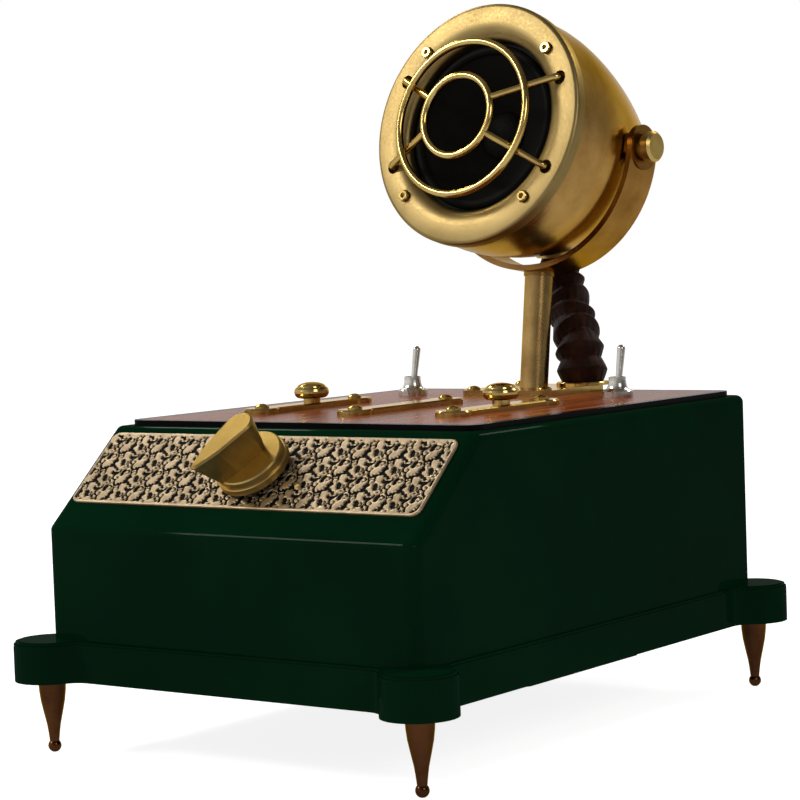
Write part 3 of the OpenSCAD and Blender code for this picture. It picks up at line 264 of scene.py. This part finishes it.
def board_wood():
    """Red-brown wood with a black line round its edge."""
    n = Finish("board_wood")
    grain = n.noise(n.coords(scale=(26.0, 2.6, 26.0)), 6.0, 8.0, 0.62, 0.6)
    fine = n.noise(n.coords(scale=(220.0, 8.0, 220.0)), 5.0, 3.0)
    tone = n.ramp(
        grain,
        (0.30, (0.120, 0.026, 0.006)),
        (0.50, (0.235, 0.054, 0.012)),
        (0.68, (0.350, 0.088, 0.021)),
    )
    pores = n.ramp(fine, (0.36, (0.25, 0.20, 0.18)), (0.50, (1.0, 1.0, 1.0)))
    wood = n.mix(0.6, tone, pores, "MULTIPLY")
    line = n.outside_rectangle(BOARD_MIDDLE_Y, BOARD_W / 2 - BOARD_LINE, BOARD_D / 2 - BOARD_LINE)
    n.to(n.mix(line, wood, BOARD_LINE_BLACK), "Base Color")
    n.to(n.spread(grain, 0.20, 0.32), "Roughness")
    n.bump(fine, 0.06, 0.0002)
    n.set(IOR=1.5, Specular_IOR_Level=0.015)
    return n.mat


def dark_plastic(name, tone, gloss):
    """A dark, finely speckled surface. Its specks are up to 1.8 times as light as the tone."""
    n = Finish(name)
    speck = n.noise(n.coords(), 1500.0, 3.0)
    light = tuple(1.8 * c for c in tone)
    n.to(n.ramp(speck, (0.35, tone), (0.65, light)), "Base Color")
    n.to(n.spread(speck, 0.42, 0.58), "Roughness")
    n.bump(speck, 0.15, 0.0001)
    n.set(Specular_IOR_Level=gloss)
    return n.mat


def cone_paper():
    n = Finish("cone_paper")
    fibre = n.noise(n.coords(), 350.0, 6.0, 0.7)
    n.to(n.ramp(fibre, (0.3, (0.0016, 0.0016, 0.0011)), (0.7, (0.0042, 0.0040, 0.0026))), "Base Color")
    n.to(n.spread(fibre, 0.5, 0.75), "Roughness")
    n.bump(fibre, 0.25, 0.0003)
    n.set(Specular_IOR_Level=0.06)
    return n.mat


def leather():
    n = Finish("ruched_leather")
    cells = n.add("TexVoronoi")
    cells.feature = "DISTANCE_TO_EDGE"
    cells.inputs["Scale"].default_value = 900.0
    n.link(n.coords(), cells.inputs["Vector"])
    folds = n.noise(n.coords(), 160.0, 5.0, 0.6)
    tone = n.ramp(
        folds,
        (0.30, (0.0075, 0.0022, 0.0009)),
        (0.55, (0.0190, 0.0052, 0.0022)),
        (0.75, (0.0520, 0.0150, 0.0065)),
    )
    n.to(tone, "Base Color")
    n.to(n.spread(folds, 0.38, 0.6), "Roughness")
    grain = n.spread(cells.outputs["Distance"], 0.0, 1.0, 0.0, 0.12)
    n.bump(n.mix(0.5, grain, folds), 0.5, 0.0005)
    n.set(Specular_IOR_Level=0.06)
    return n.mat


def circuit():
    n = Finish("circuit_board")
    cloud = n.noise(n.coords(), 200.0, 3.0)
    n.to(n.ramp(cloud, (0.4, (0.01, 0.09, 0.04)), (0.6, (0.02, 0.14, 0.07))), "Base Color")
    n.set(Roughness=0.4)
    return n.mat


def battery_wrap():
    n = Finish("battery_wrap")
    cloud = n.noise(n.coords(), 120.0, 3.0)
    n.to(n.ramp(cloud, (0.4, (0.03, 0.08, 0.25)), (0.6, (0.05, 0.11, 0.32))), "Base Color")
    n.set(Roughness=0.3)
    return n.mat


# Metals: each pair of tones is the light one and the dark one
GOLD_TONES = ((0.600, 0.430, 0.150), (0.400, 0.270, 0.085))
SHELL_TONES = ((0.450, 0.275, 0.094), (0.290, 0.155, 0.048))
RING_TONES = ((0.300, 0.218, 0.088), (0.245, 0.174, 0.066))
KNOB_TONES = ((0.460, 0.322, 0.115), (0.360, 0.242, 0.083))
YOKE_TONES = ((0.330, 0.175, 0.052), (0.200, 0.098, 0.028))
TUBE_TONES = ((0.420, 0.270, 0.100), (0.240, 0.140, 0.048))
LEG_TONES = ((0.094, 0.037, 0.014), (0.036, 0.014, 0.007))
BRASS_GLARE = (0.80, 0.62, 0.34, 1.0)


def brass(name, tones, roughness, lines, line_scale, bump, turned=0.0):
    """Brass with fine lines that run along the axes where line_scale is small.

    Turned above 0 draws its sheen out round the object's own z axis, as on a lathe.
    """
    n = Finish(name)
    line = n.noise(n.coords(scale=line_scale), lines, 4.0, 0.6)
    cloud = n.noise(n.coords(), 45.0, 5.0, 0.6)
    speck = n.noise(n.coords(), 700.0, 2.0)
    light, dark = tones
    tone = n.ramp(cloud, (0.28, dark), (0.62, light))
    streak = n.ramp(line, (0.3, (0.80, 0.79, 0.77)), (0.65, (1.0, 1.0, 1.0)))
    n.to(n.mix(0.55, tone, streak, "MULTIPLY"), "Base Color")
    wear = n.mix(0.5, n.spread(line, 0.0, 1.0, 0.25, 0.75), n.spread(speck, 0.0, 1.0, 0.25, 0.75))
    n.to(n.spread(wear, roughness * 0.8, roughness * 1.25), "Roughness")
    n.bump(line, bump, 0.00008)
    n.set(Metallic=1.0, Specular_Tint=BRASS_GLARE)
    if turned:
        n.set(Anisotropic=turned)
        tangent = n.add("Tangent")
        tangent.direction_type = "RADIAL"
        tangent.axis = "Z"
        n.to(tangent.outputs["Tangent"], "Tangent")
    return n.mat


def rose_metal():
    n = Finish("rose_metal")
    cloud = n.noise(n.coords(), 90.0, 5.0)
    fine = n.noise(n.coords(), 1300.0, 3.0)
    n.to(n.ramp(cloud, (0.3, (0.290, 0.212, 0.122)), (0.7, (0.460, 0.355, 0.220))), "Base Color")
    n.to(n.spread(fine, 0.36, 0.52), "Roughness")
    n.bump(fine, 0.2, 0.0001)
    n.set(Metallic=1.0)
    return n.mat


def nickel():
    n = Finish("nickel")
    cloud = n.noise(n.coords(), 120.0, 4.0)
    n.to(n.ramp(cloud, (0.3, (0.50, 0.47, 0.42)), (0.7, (0.66, 0.63, 0.58))), "Base Color")
    n.to(n.spread(cloud, 0.14, 0.26), "Roughness")
    n.set(Metallic=1.0)
    return n.mat


def steel():
    n = Finish("steel")
    line = n.noise(n.coords(scale=(1, 1, 30)), 60.0, 4.0)
    n.to(n.ramp(line, (0.3, (0.36, 0.36, 0.37)), (0.7, (0.52, 0.52, 0.53))), "Base Color")
    n.to(n.spread(line, 0.28, 0.42), "Roughness")
    n.set(Metallic=1.0)
    return n.mat


# The finish of each of the record's material slots
FINISH = {
    "green_lacquer": green_lacquer(),
    "board_wood": board_wood(),
    "brass_polished": brass("brass_polished", GOLD_TONES, 0.16, 30.0, (4, 4, 4), 0.04),
    "brass_satin": brass("brass_satin", GOLD_TONES, 0.34, 60.0, (40, 1, 1), 0.12),
    "rose_metal": rose_metal(),
    "nickel": nickel(),
    "steel": steel(),
    "black_steel": dark_plastic("black_paint", (0.007, 0.007, 0.006), 0.12),
    "black_plastic": dark_plastic("dark_plastic", (0.012, 0.012, 0.012), 0.12),
    "black_rubber": dark_plastic("black_rubber", (0.003, 0.003, 0.0025), 0.03),
    "black_paper": cone_paper(),
    "brown_leather": leather(),
    "circuit_board": circuit(),
    "battery_wrap": battery_wrap(),
}

# Finishes of single pieces
LEG_BRONZE = brass("leg_bronze", LEG_TONES, 0.24, 60.0, (1, 1, 40), 0.05)
KNOB_BRASS = brass("brass_knob", KNOB_TONES, 0.34, 60.0, (40, 1, 1), 0.12)
YOKE_BRASS = brass("brass_yoke", YOKE_TONES, 0.24, 60.0, (30, 30, 1), 0.1)
TUBE_BRASS = brass("brass_tube", TUBE_TONES, 0.26, 60.0, (30, 30, 1), 0.1)
SHELL_BRASS = brass("brass_spun", SHELL_TONES, 0.20, 60.0, (0.6, 0.6, 60), 0.12, turned=0.8)
RING_BRASS = brass("brass_faced", RING_TONES, 0.42, 50.0, (1, 1, 1), 0.06, turned=0.4)
PLATE_GROUND = dark_plastic("plate_ground", (0.003, 0.003, 0.002), 0.02)

LEGS = ("leg_front_left", "leg_front_right", "leg_rear_left", "leg_rear_right")


def paint(obj, material):
    obj.data.materials.clear()
    obj.data.materials.append(material)


for part in frame["record"]["subparts"]:
    paint(NODES[part["node"]], FINISH[part["material_slot"]])
for leg in LEGS:
    paint(NODES[leg], LEG_BRONZE)


# Geometry helpers
def new_object(name, mesh, matrix=None):
    obj = bpy.data.objects.new(name, mesh)
    bpy.context.scene.collection.objects.link(obj)
    if matrix is not None:
        obj.matrix_world = matrix
    return obj


def mesh_of(bm, name):
    """Turn a finished bmesh into a mesh."""
    bmesh.ops.recalc_face_normals(bm, faces=bm.faces)
    mesh = bpy.data.meshes.new(name)
    bm.to_mesh(mesh)
    bm.free()
    return mesh


def smooth(obj, degrees):
    """Smooth shading, with sharp edges over the given angle."""
    mesh = obj.data
    if "custom_normal" in mesh.attributes:
        mesh.attributes.remove(mesh.attributes["custom_normal"])
    bm = bmesh.new()
    bm.from_mesh(mesh)
    bmesh.ops.remove_doubles(bm, verts=bm.verts, dist=0.002 * MM)
    limit = math.radians(degrees)
    for face in bm.faces:
        face.smooth = True
    for edge in bm.edges:
        edge.smooth = len(edge.link_faces) == 2 and edge.calc_face_angle(0.0) < limit
    bm.to_mesh(mesh)
    bm.free()


def reframed(node, matrix, material, body, name, round_over=0.0):
    """A copy of a CAD node's mesh whose own axes are the given frame's, standing for that node."""
    mesh = NODES[node].data.copy()
    mesh.transform(matrix.inverted())
    obj = new_object(name, mesh, matrix)
    if round_over:
        smooth(obj, round_over)
    paint(obj, material)
    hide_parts(node)
    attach(obj, body)


# Metal pieces that need their own axes for the run of their brushing
TURNED_EDGE = 30.0

reframed("head_shell", HEAD, SHELL_BRASS, "head", "shell", TURNED_EDGE)
reframed("front_ring", HEAD, RING_BRASS, "head", "ring", TURNED_EDGE)
reframed("control_knob", KNOB, KNOB_BRASS, "dial", "knob")
reframed("post", PIVOT, TUBE_BRASS, "case", "post_tube")
reframed("yoke", PIVOT, YOKE_BRASS, "case", "yoke_band")

# Hose: a ruched sleeve on the curve that the solid follows
HOSE_LEAN = math.radians(8.4)
HOSE_TOP_DIR = Vector((0.0, -math.sin(HOSE_LEAN), math.cos(HOSE_LEAN)))
HOSE_FOOT = Vector((17.3, 123.3, 149.65))
HOSE_TOP = Vector((-11.5, 148.9, 216.8)) - 4.05 * HOSE_TOP_DIR
HOSE_PULL = 26.0
HOSE_R = 12.0
HOSE_TAPER = 1.0
HOSE_RIBS = 7
RIB_ROOT = 2.9
RIB_H = 2.75
RIB_ROUND = 0.55
RIB_WANDER = 0.52
RINGS_PER_RIB = 26
HOSE_SIDES = 96
HOSE_EDGE = 60.0


def hose_point(t):
    """The hose's middle, from its foot at t = 0 to its top at t = 1."""
    return (
        HOSE_FOOT * (1 - t) ** 3
        + (HOSE_FOOT + Vector((0, 0, HOSE_PULL))) * 3 * t * (1 - t) ** 2
        + (HOSE_TOP - HOSE_TOP_DIR * HOSE_PULL) * 3 * t * t * (1 - t)
        + HOSE_TOP * t ** 3
    )


def hose_radius(t, a):
    """The sleeve's radius at t along it and angle a round it: uneven ribs with small puckers."""
    turns = t * HOSE_RIBS
    wander = 0.3 * math.sin(a + 2.1 * turns) + 0.2 * math.sin(2 * a - 3.0 * turns)
    phase = turns + RIB_WANDER * wander * math.sin(math.pi * t)
    rib = math.floor(phase)
    round_rib = abs(math.sin(math.pi * phase)) ** 0.7
    sharp_rib = 1 - abs(math.cos(math.pi * phase))
    wave = RIB_ROUND * round_rib + (1 - RIB_ROUND) * sharp_rib
    pucker = 0.22 * math.sin(17 * a + 5.0 * rib) * (1 - wave)
    pucker += 0.24 * math.sin(29 * a + 3.0 * rib) * wave * (1 - wave)
    return HOSE_R + HOSE_TAPER * (1 - 2 * t) - RIB_ROOT + RIB_H * wave + pucker


def hose():
    steps = HOSE_RIBS * RINGS_PER_RIB
    bm = bmesh.new()
    rings = []
    for i in range(steps + 1):
        t = i / steps
        centre = hose_point(t)
        along = (hose_point(min(1, t + 0.004)) - hose_point(max(0, t - 0.004))).normalized()
        u = Vector((0, 1, 0)).cross(along).normalized()
        v = along.cross(u)
        ring = []
        for k in range(HOSE_SIDES):
            a = 2 * math.pi * k / HOSE_SIDES
            outward = math.cos(a) * u + math.sin(a) * v
            ring.append(bm.verts.new((centre + hose_radius(t, a) * outward) * MM))
        rings.append(ring)
    for low, high in zip(rings, rings[1:]):
        for k in range(HOSE_SIDES):
            j = (k + 1) % HOSE_SIDES
            bm.faces.new((low[k], low[j], high[j], high[k]))
    bm.faces.new(list(reversed(rings[0])))
    bm.faces.new(rings[-1])
    obj = new_object("hose_sleeve", mesh_of(bm, "hose_sleeve"))
    smooth(obj, HOSE_EDGE)
    paint(obj, FINISH["brown_leather"])
    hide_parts("hose")
    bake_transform(obj)


hose()

# Ornament plate: rounded scrolls parted by dark cuts, from one tile that repeats
TILE_W = 18.9
TILE_H = 38.1
TILES_ACROSS = 10
TILE_ROWS = (4.7, 14.2, 23.8, 33.4)
CELL = 0.24
CUT_WIDTH = 1.35
CUT_DEPTH = 0.5
CUT_WALL = 0.32
CROWN_H = 0.12
CROWN_RUN = 0.8
PLATE_CORNER = 4.0
RIM_W = 1.3
RIM_Z = PLATE_T - 0.02
RIM_ROUND = 0.45
RIM_DROP = 0.25
SKIRT_Z = 0.05
SHAFT_HOLE_R = 7.2
GROUND_BELOW = 0.45


def arc(cx, cy, r0, r1, a0, a1, w0, w1, bulb=0.0):
    """Points along a curl from angle a0 to a1: x, y, half width. A bulb ends it."""
    points = []
    steps = max(6, int(abs(a1 - a0) / 11))
    for i in range(steps + 1):
        s = i / steps
        r = r0 + (r1 - r0) * s
        a = math.radians(a0 + (a1 - a0) * s)
        w = w0 + (w1 - w0) * s
        if bulb and s > 0.8:
            w += bulb * math.sin((s - 0.8) / 0.2 * math.pi / 2)
        points.append((cx + r * math.cos(a), cy + r * math.sin(a), w))
    return points


def comma(x0, y0, x1, y1, bow, width):
    """Points along a bent drop: round at its start and pointed at its end."""
    points = []
    dx, dy = x1 - x0, y1 - y0
    for i in range(13):
        s = i / 12
        b = bow * math.sin(math.pi * s)
        points.append((x0 + dx * s - dy * b, y0 + dy * s + dx * b, width * (1 - s) ** 0.7 + 0.12))
    return points


def dot(x, y, r):
    return arc(x, y, 0.05, 0.05, 0, 60, r, r)


def motif(x, y, f):
    """The dark cuts of one motif about 10 mm wide: curls, drops, a hook and dots. f = -1 turns it over."""
    return [
        arc(x + 2.6, y + 1.1 * f, 0.5, 2.5, -60 * f, 250 * f, 0.16, 0.34, 0.3),
        arc(x + 7.2, y - 1.6 * f, 0.4, 2.1, 120 * f, -170 * f, 0.15, 0.32, 0.28),
        arc(x + 5.4, y + 3.5 * f, 2.6, 2.3, 205 * f, 20 * f, 0.30, 0.55),
        arc(x + 10.1, y - 2.9 * f, 0.9, 0.9, 40 * f, 250 * f, 0.22, 0.40),
        comma(x + 4.9, y - 0.6 * f, x + 5.7, y - 4.3 * f, 0.25, 0.62),
        comma(x + 0.6, y - 1.5 * f, x + 2.6, y - 3.9 * f, -0.35, 0.55),
        comma(x + 9.6, y + 1.2 * f, x + 7.9, y + 3.0 * f, 0.4, 0.60),
        comma(x + 8.9, y + 4.1 * f, x + 10.9, y + 3.4 * f, -0.3, 0.42),
        dot(x + 1.2, y + 4.6 * f, 0.42),
        dot(x + 3.6, y - 5.0 * f, 0.36),
    ]


def tile_strokes():
    """The cuts of one tile: two motifs a row, turned over in turn, with every second row shifted."""
    strokes = []
    for row, y in enumerate(TILE_ROWS):
        shift = 0.0 if row % 2 == 0 else TILE_W / 4
        flip = 1 if row < 2 else -1
        strokes += motif(shift, y, flip)
        strokes += motif(shift + TILE_W / 2, y, -flip)
    return strokes


def tile_distance():
    """How far each cell of one tile lies inside (above 0) or outside the cuts, in millimetres."""
    nx = int(round(TILE_W / CELL))
    ny = int(round(TILE_H / CELL)) + 1
    xs = (np.arange(nx) + 0.5) * (TILE_W / nx)
    ys = np.arange(ny) * (TILE_H / (ny - 1))
    gx, gy = np.meshgrid(xs, ys)
    inside = np.full(gx.shape, -9.0)
    for stroke in tile_strokes():
        for (x0, y0, w0), (x1, y1, w1) in zip(stroke, stroke[1:]):
            for k in (0.0, 0.5):
                x = x0 + (x1 - x0) * k
                y = y0 + (y1 - y0) * k
                w = CUT_WIDTH * (w0 + (w1 - w0) * k)
                dx = gx - x
                dx -= TILE_W * np.round(dx / TILE_W)
                inside = np.maximum(inside, w - np.hypot(dx, gy - y))
    return inside


def metal_distance(gx, gy):
    """How far each point of the plate lies from the nearest cut, below 0 inside a cut."""
    inside = tile_distance()
    rows, columns = inside.shape
    from_left = gx + TILES_ACROSS * TILE_W / 2
    column = np.floor((from_left % TILE_W) / TILE_W * columns).astype(int) % columns
    row = np.clip(np.round((gy + TILE_H / 2) / TILE_H * (rows - 1)), 0, rows - 1).astype(int)
    return -inside[row, column]


def distance_from_edge(x, y):
    """Distance inside the plate's outline, a rounded rectangle about the origin."""
    qx = np.abs(x) - (PLATE_W / 2 - PLATE_CORNER)
    qy = np.abs(y) - (PLATE_H / 2 - PLATE_CORNER)
    outside = np.hypot(np.maximum(qx, 0), np.maximum(qy, 0)) + np.minimum(np.maximum(qx, qy), 0)
    return PLATE_CORNER - outside


def plate_relief(gx, gy):
    """The plate's height at each point, from 0 in the cuts to 1 on the metal, and its real z."""
    metal = metal_distance(gx, gy)
    edge = distance_from_edge(gx, gy)
    level = np.clip((np.maximum(metal, RIM_W - edge) + CUT_WALL / 2) / CUT_WALL, 0, 1)
    level = level * level * (3 - 2 * level)
    crown = np.clip(metal, 0, CROWN_RUN) / CROWN_RUN
    z = PLATE_T - CUT_DEPTH + (CUT_DEPTH - CROWN_H) * level + CROWN_H * np.sqrt(crown)
    z = np.where(edge < RIM_W, RIM_Z, z)
    rounding = RIM_DROP * (1 - np.clip(edge / RIM_ROUND, 0, 1)) ** 2
    z = np.where(edge < RIM_ROUND, RIM_Z - rounding, z)
    keep = (edge > -0.01) & (np.hypot(gx, gy) > SHAFT_HOLE_R)
    return level, z, keep


def ornament():
    nx = int(round(PLATE_W / CELL))
    ny = int(round(PLATE_H / CELL))
    xs = np.linspace(-PLATE_W / 2, PLATE_W / 2, nx + 1)
    ys = np.linspace(-PLATE_H / 2, PLATE_H / 2, ny + 1)
    gx, gy = np.meshgrid(xs, ys)
    level, z, keep = plate_relief(gx, gy)
    bm = bmesh.new()
    verts = {}

    def vert(i, j):
        if (i, j) not in verts:
            verts[(i, j)] = bm.verts.new((gx[j, i] * MM, gy[j, i] * MM, z[j, i] * MM))
        return verts[(i, j)]

    for j in range(ny):
        for i in range(nx):
            corners = [(i, j), (i + 1, j), (i + 1, j + 1), (i, j + 1)]
            if all(keep[b, a] for a, b in corners):
                face = bm.faces.new([vert(a, b) for a, b in corners])
                face.smooth = True
                mean = sum(level[b, a] for a, b in corners) / 4
                face.material_index = 0 if mean > GROUND_BELOW else 1
    skirt = bmesh.ops.extrude_edge_only(bm, edges=[e for e in bm.edges if e.is_boundary])
    for item in skirt["geom"]:
        if isinstance(item, bmesh.types.BMVert):
            item.co.z = SKIRT_Z * MM
        elif isinstance(item, bmesh.types.BMFace):
            item.material_index = 0
    obj = new_object("scroll_plate", mesh_of(bm, "scroll_plate"), PLATE)
    obj.data.materials.append(FINISH["rose_metal"])
    obj.data.materials.append(PLATE_GROUND)
    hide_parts("ornament_plate")
    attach(obj, "case")


ornament()

# Floor, background and soft light, with strengths where 1 is white
FLOOR_HALF = 12.0
FLOOR_GREY = (0.5, 0.5, 0.5)
FLOOR_SEEN = 0.86
FLOOR_MIRRORED = 0.35
SOFT_LIGHT = 0.42
CEILING = 0.22
RIGHT_SIDE = 0.18
WHITE = (1.0, 1.0, 1.0)


def floor_finish():
    """Grey for the light that falls on it, with a glow that only the camera and shiny surfaces see."""
    mat = bpy.data.materials.new("floor")
    mat.use_nodes = True
    mat.node_tree.nodes.clear()
    tree = Tree(mat.node_tree)
    path = tree.add("LightPath").outputs
    diffuse = tree.add("BsdfDiffuse")
    tree.feed(diffuse.inputs["Color"], FLOOR_GREY)
    seen = tree.maths("MULTIPLY", path["Is Camera Ray"], FLOOR_SEEN)
    glow = tree.add("Emission")
    strength = tree.maths("MULTIPLY_ADD", path["Is Glossy Ray"], FLOOR_MIRRORED, seen)
    tree.feed(glow.inputs["Strength"], strength)
    both = tree.add("AddShader")
    tree.link(diffuse.outputs[0], both.inputs[0])
    tree.link(glow.outputs[0], both.inputs[1])
    tree.link(both.outputs[0], tree.add("OutputMaterial").inputs["Surface"])
    return mat


def stage():
    s = FLOOR_HALF
    mesh = bpy.data.meshes.new("floor")
    mesh.from_pydata([(-s, -s, 0), (s, -s, 0), (s, s, 0), (-s, s, 0)], [], [(0, 1, 2, 3)])
    floor = new_object("floor", mesh)
    mesh.materials.append(floor_finish())


def background(tree, strength):
    shade = tree.add("Background")
    tree.feed(shade.inputs["Color"], WHITE)
    tree.feed(shade.inputs["Strength"], strength)
    return shade.outputs[0]


def world():
    """Soft light all round. Seen direct it is white; in metal it is darker overhead and to the right."""
    studio = bpy.data.worlds.new("studio")
    bpy.context.scene.world = studio
    studio.use_nodes = True
    studio.node_tree.nodes.clear()
    tree = Tree(studio.node_tree)
    path = tree.add("LightPath").outputs
    place = tree.add("SeparateXYZ")
    tree.link(tree.add("TexCoord").outputs["Generated"], place.inputs[0])
    overhead = tree.spread(place.outputs["Z"], 1.0, CEILING, 0.10, 0.75)
    to_right = tree.spread(place.outputs["X"], 1.0, RIGHT_SIDE, -0.15, 0.75)
    mirrored = background(tree, tree.maths("MULTIPLY", overhead, to_right))
    shining = tree.mix_shaders(path["Is Glossy Ray"], background(tree, SOFT_LIGHT), mirrored)
    direct = tree.maths("MAXIMUM", path["Is Camera Ray"], path["Is Transmission Ray"])
    seen = tree.mix_shaders(direct, shining, background(tree, 1.0))
    tree.link(seen, tree.add("OutputWorld").inputs["Surface"])


# Lamps: place and target in metres, long and short side, watts
LAMPS = {
    "key": ((-1.3, -1.1, 1.3), (0, 0, 0.15), 0.9, 0.22, 17),
    "edge": ((-1.25, 0.42, 1.35), (0, 0, 0.15), 0.5, 0.16, 8),
    "fill": ((1.4, -0.6, 0.9), (0, 0, 0.15), 0.6, 0.6, 6),
    "rim": ((0.5, 1.4, 1.3), (0, 0, 0.2), 0.4, 0.4, 7),
}
LAMP_COLOUR = (1.0, 0.975, 0.94)


def lamp(name, place, target, long_side, short_side, watts):
    light = bpy.data.lights.new(name, "AREA")
    light.shape = "RECTANGLE"
    light.size = long_side
    light.size_y = short_side
    light.energy = watts
    light.color = LAMP_COLOUR
    obj = bpy.data.objects.new(name, light)
    obj.location = place
    obj.rotation_euler = (Vector(target) - Vector(place)).to_track_quat("-Z", "Y").to_euler()
    bpy.context.scene.collection.objects.link(obj)


stage()
world()
for lamp_name, settings in LAMPS.items():
    lamp(lamp_name, *settings)

bpy.context.scene.view_settings.view_transform = "Standard"
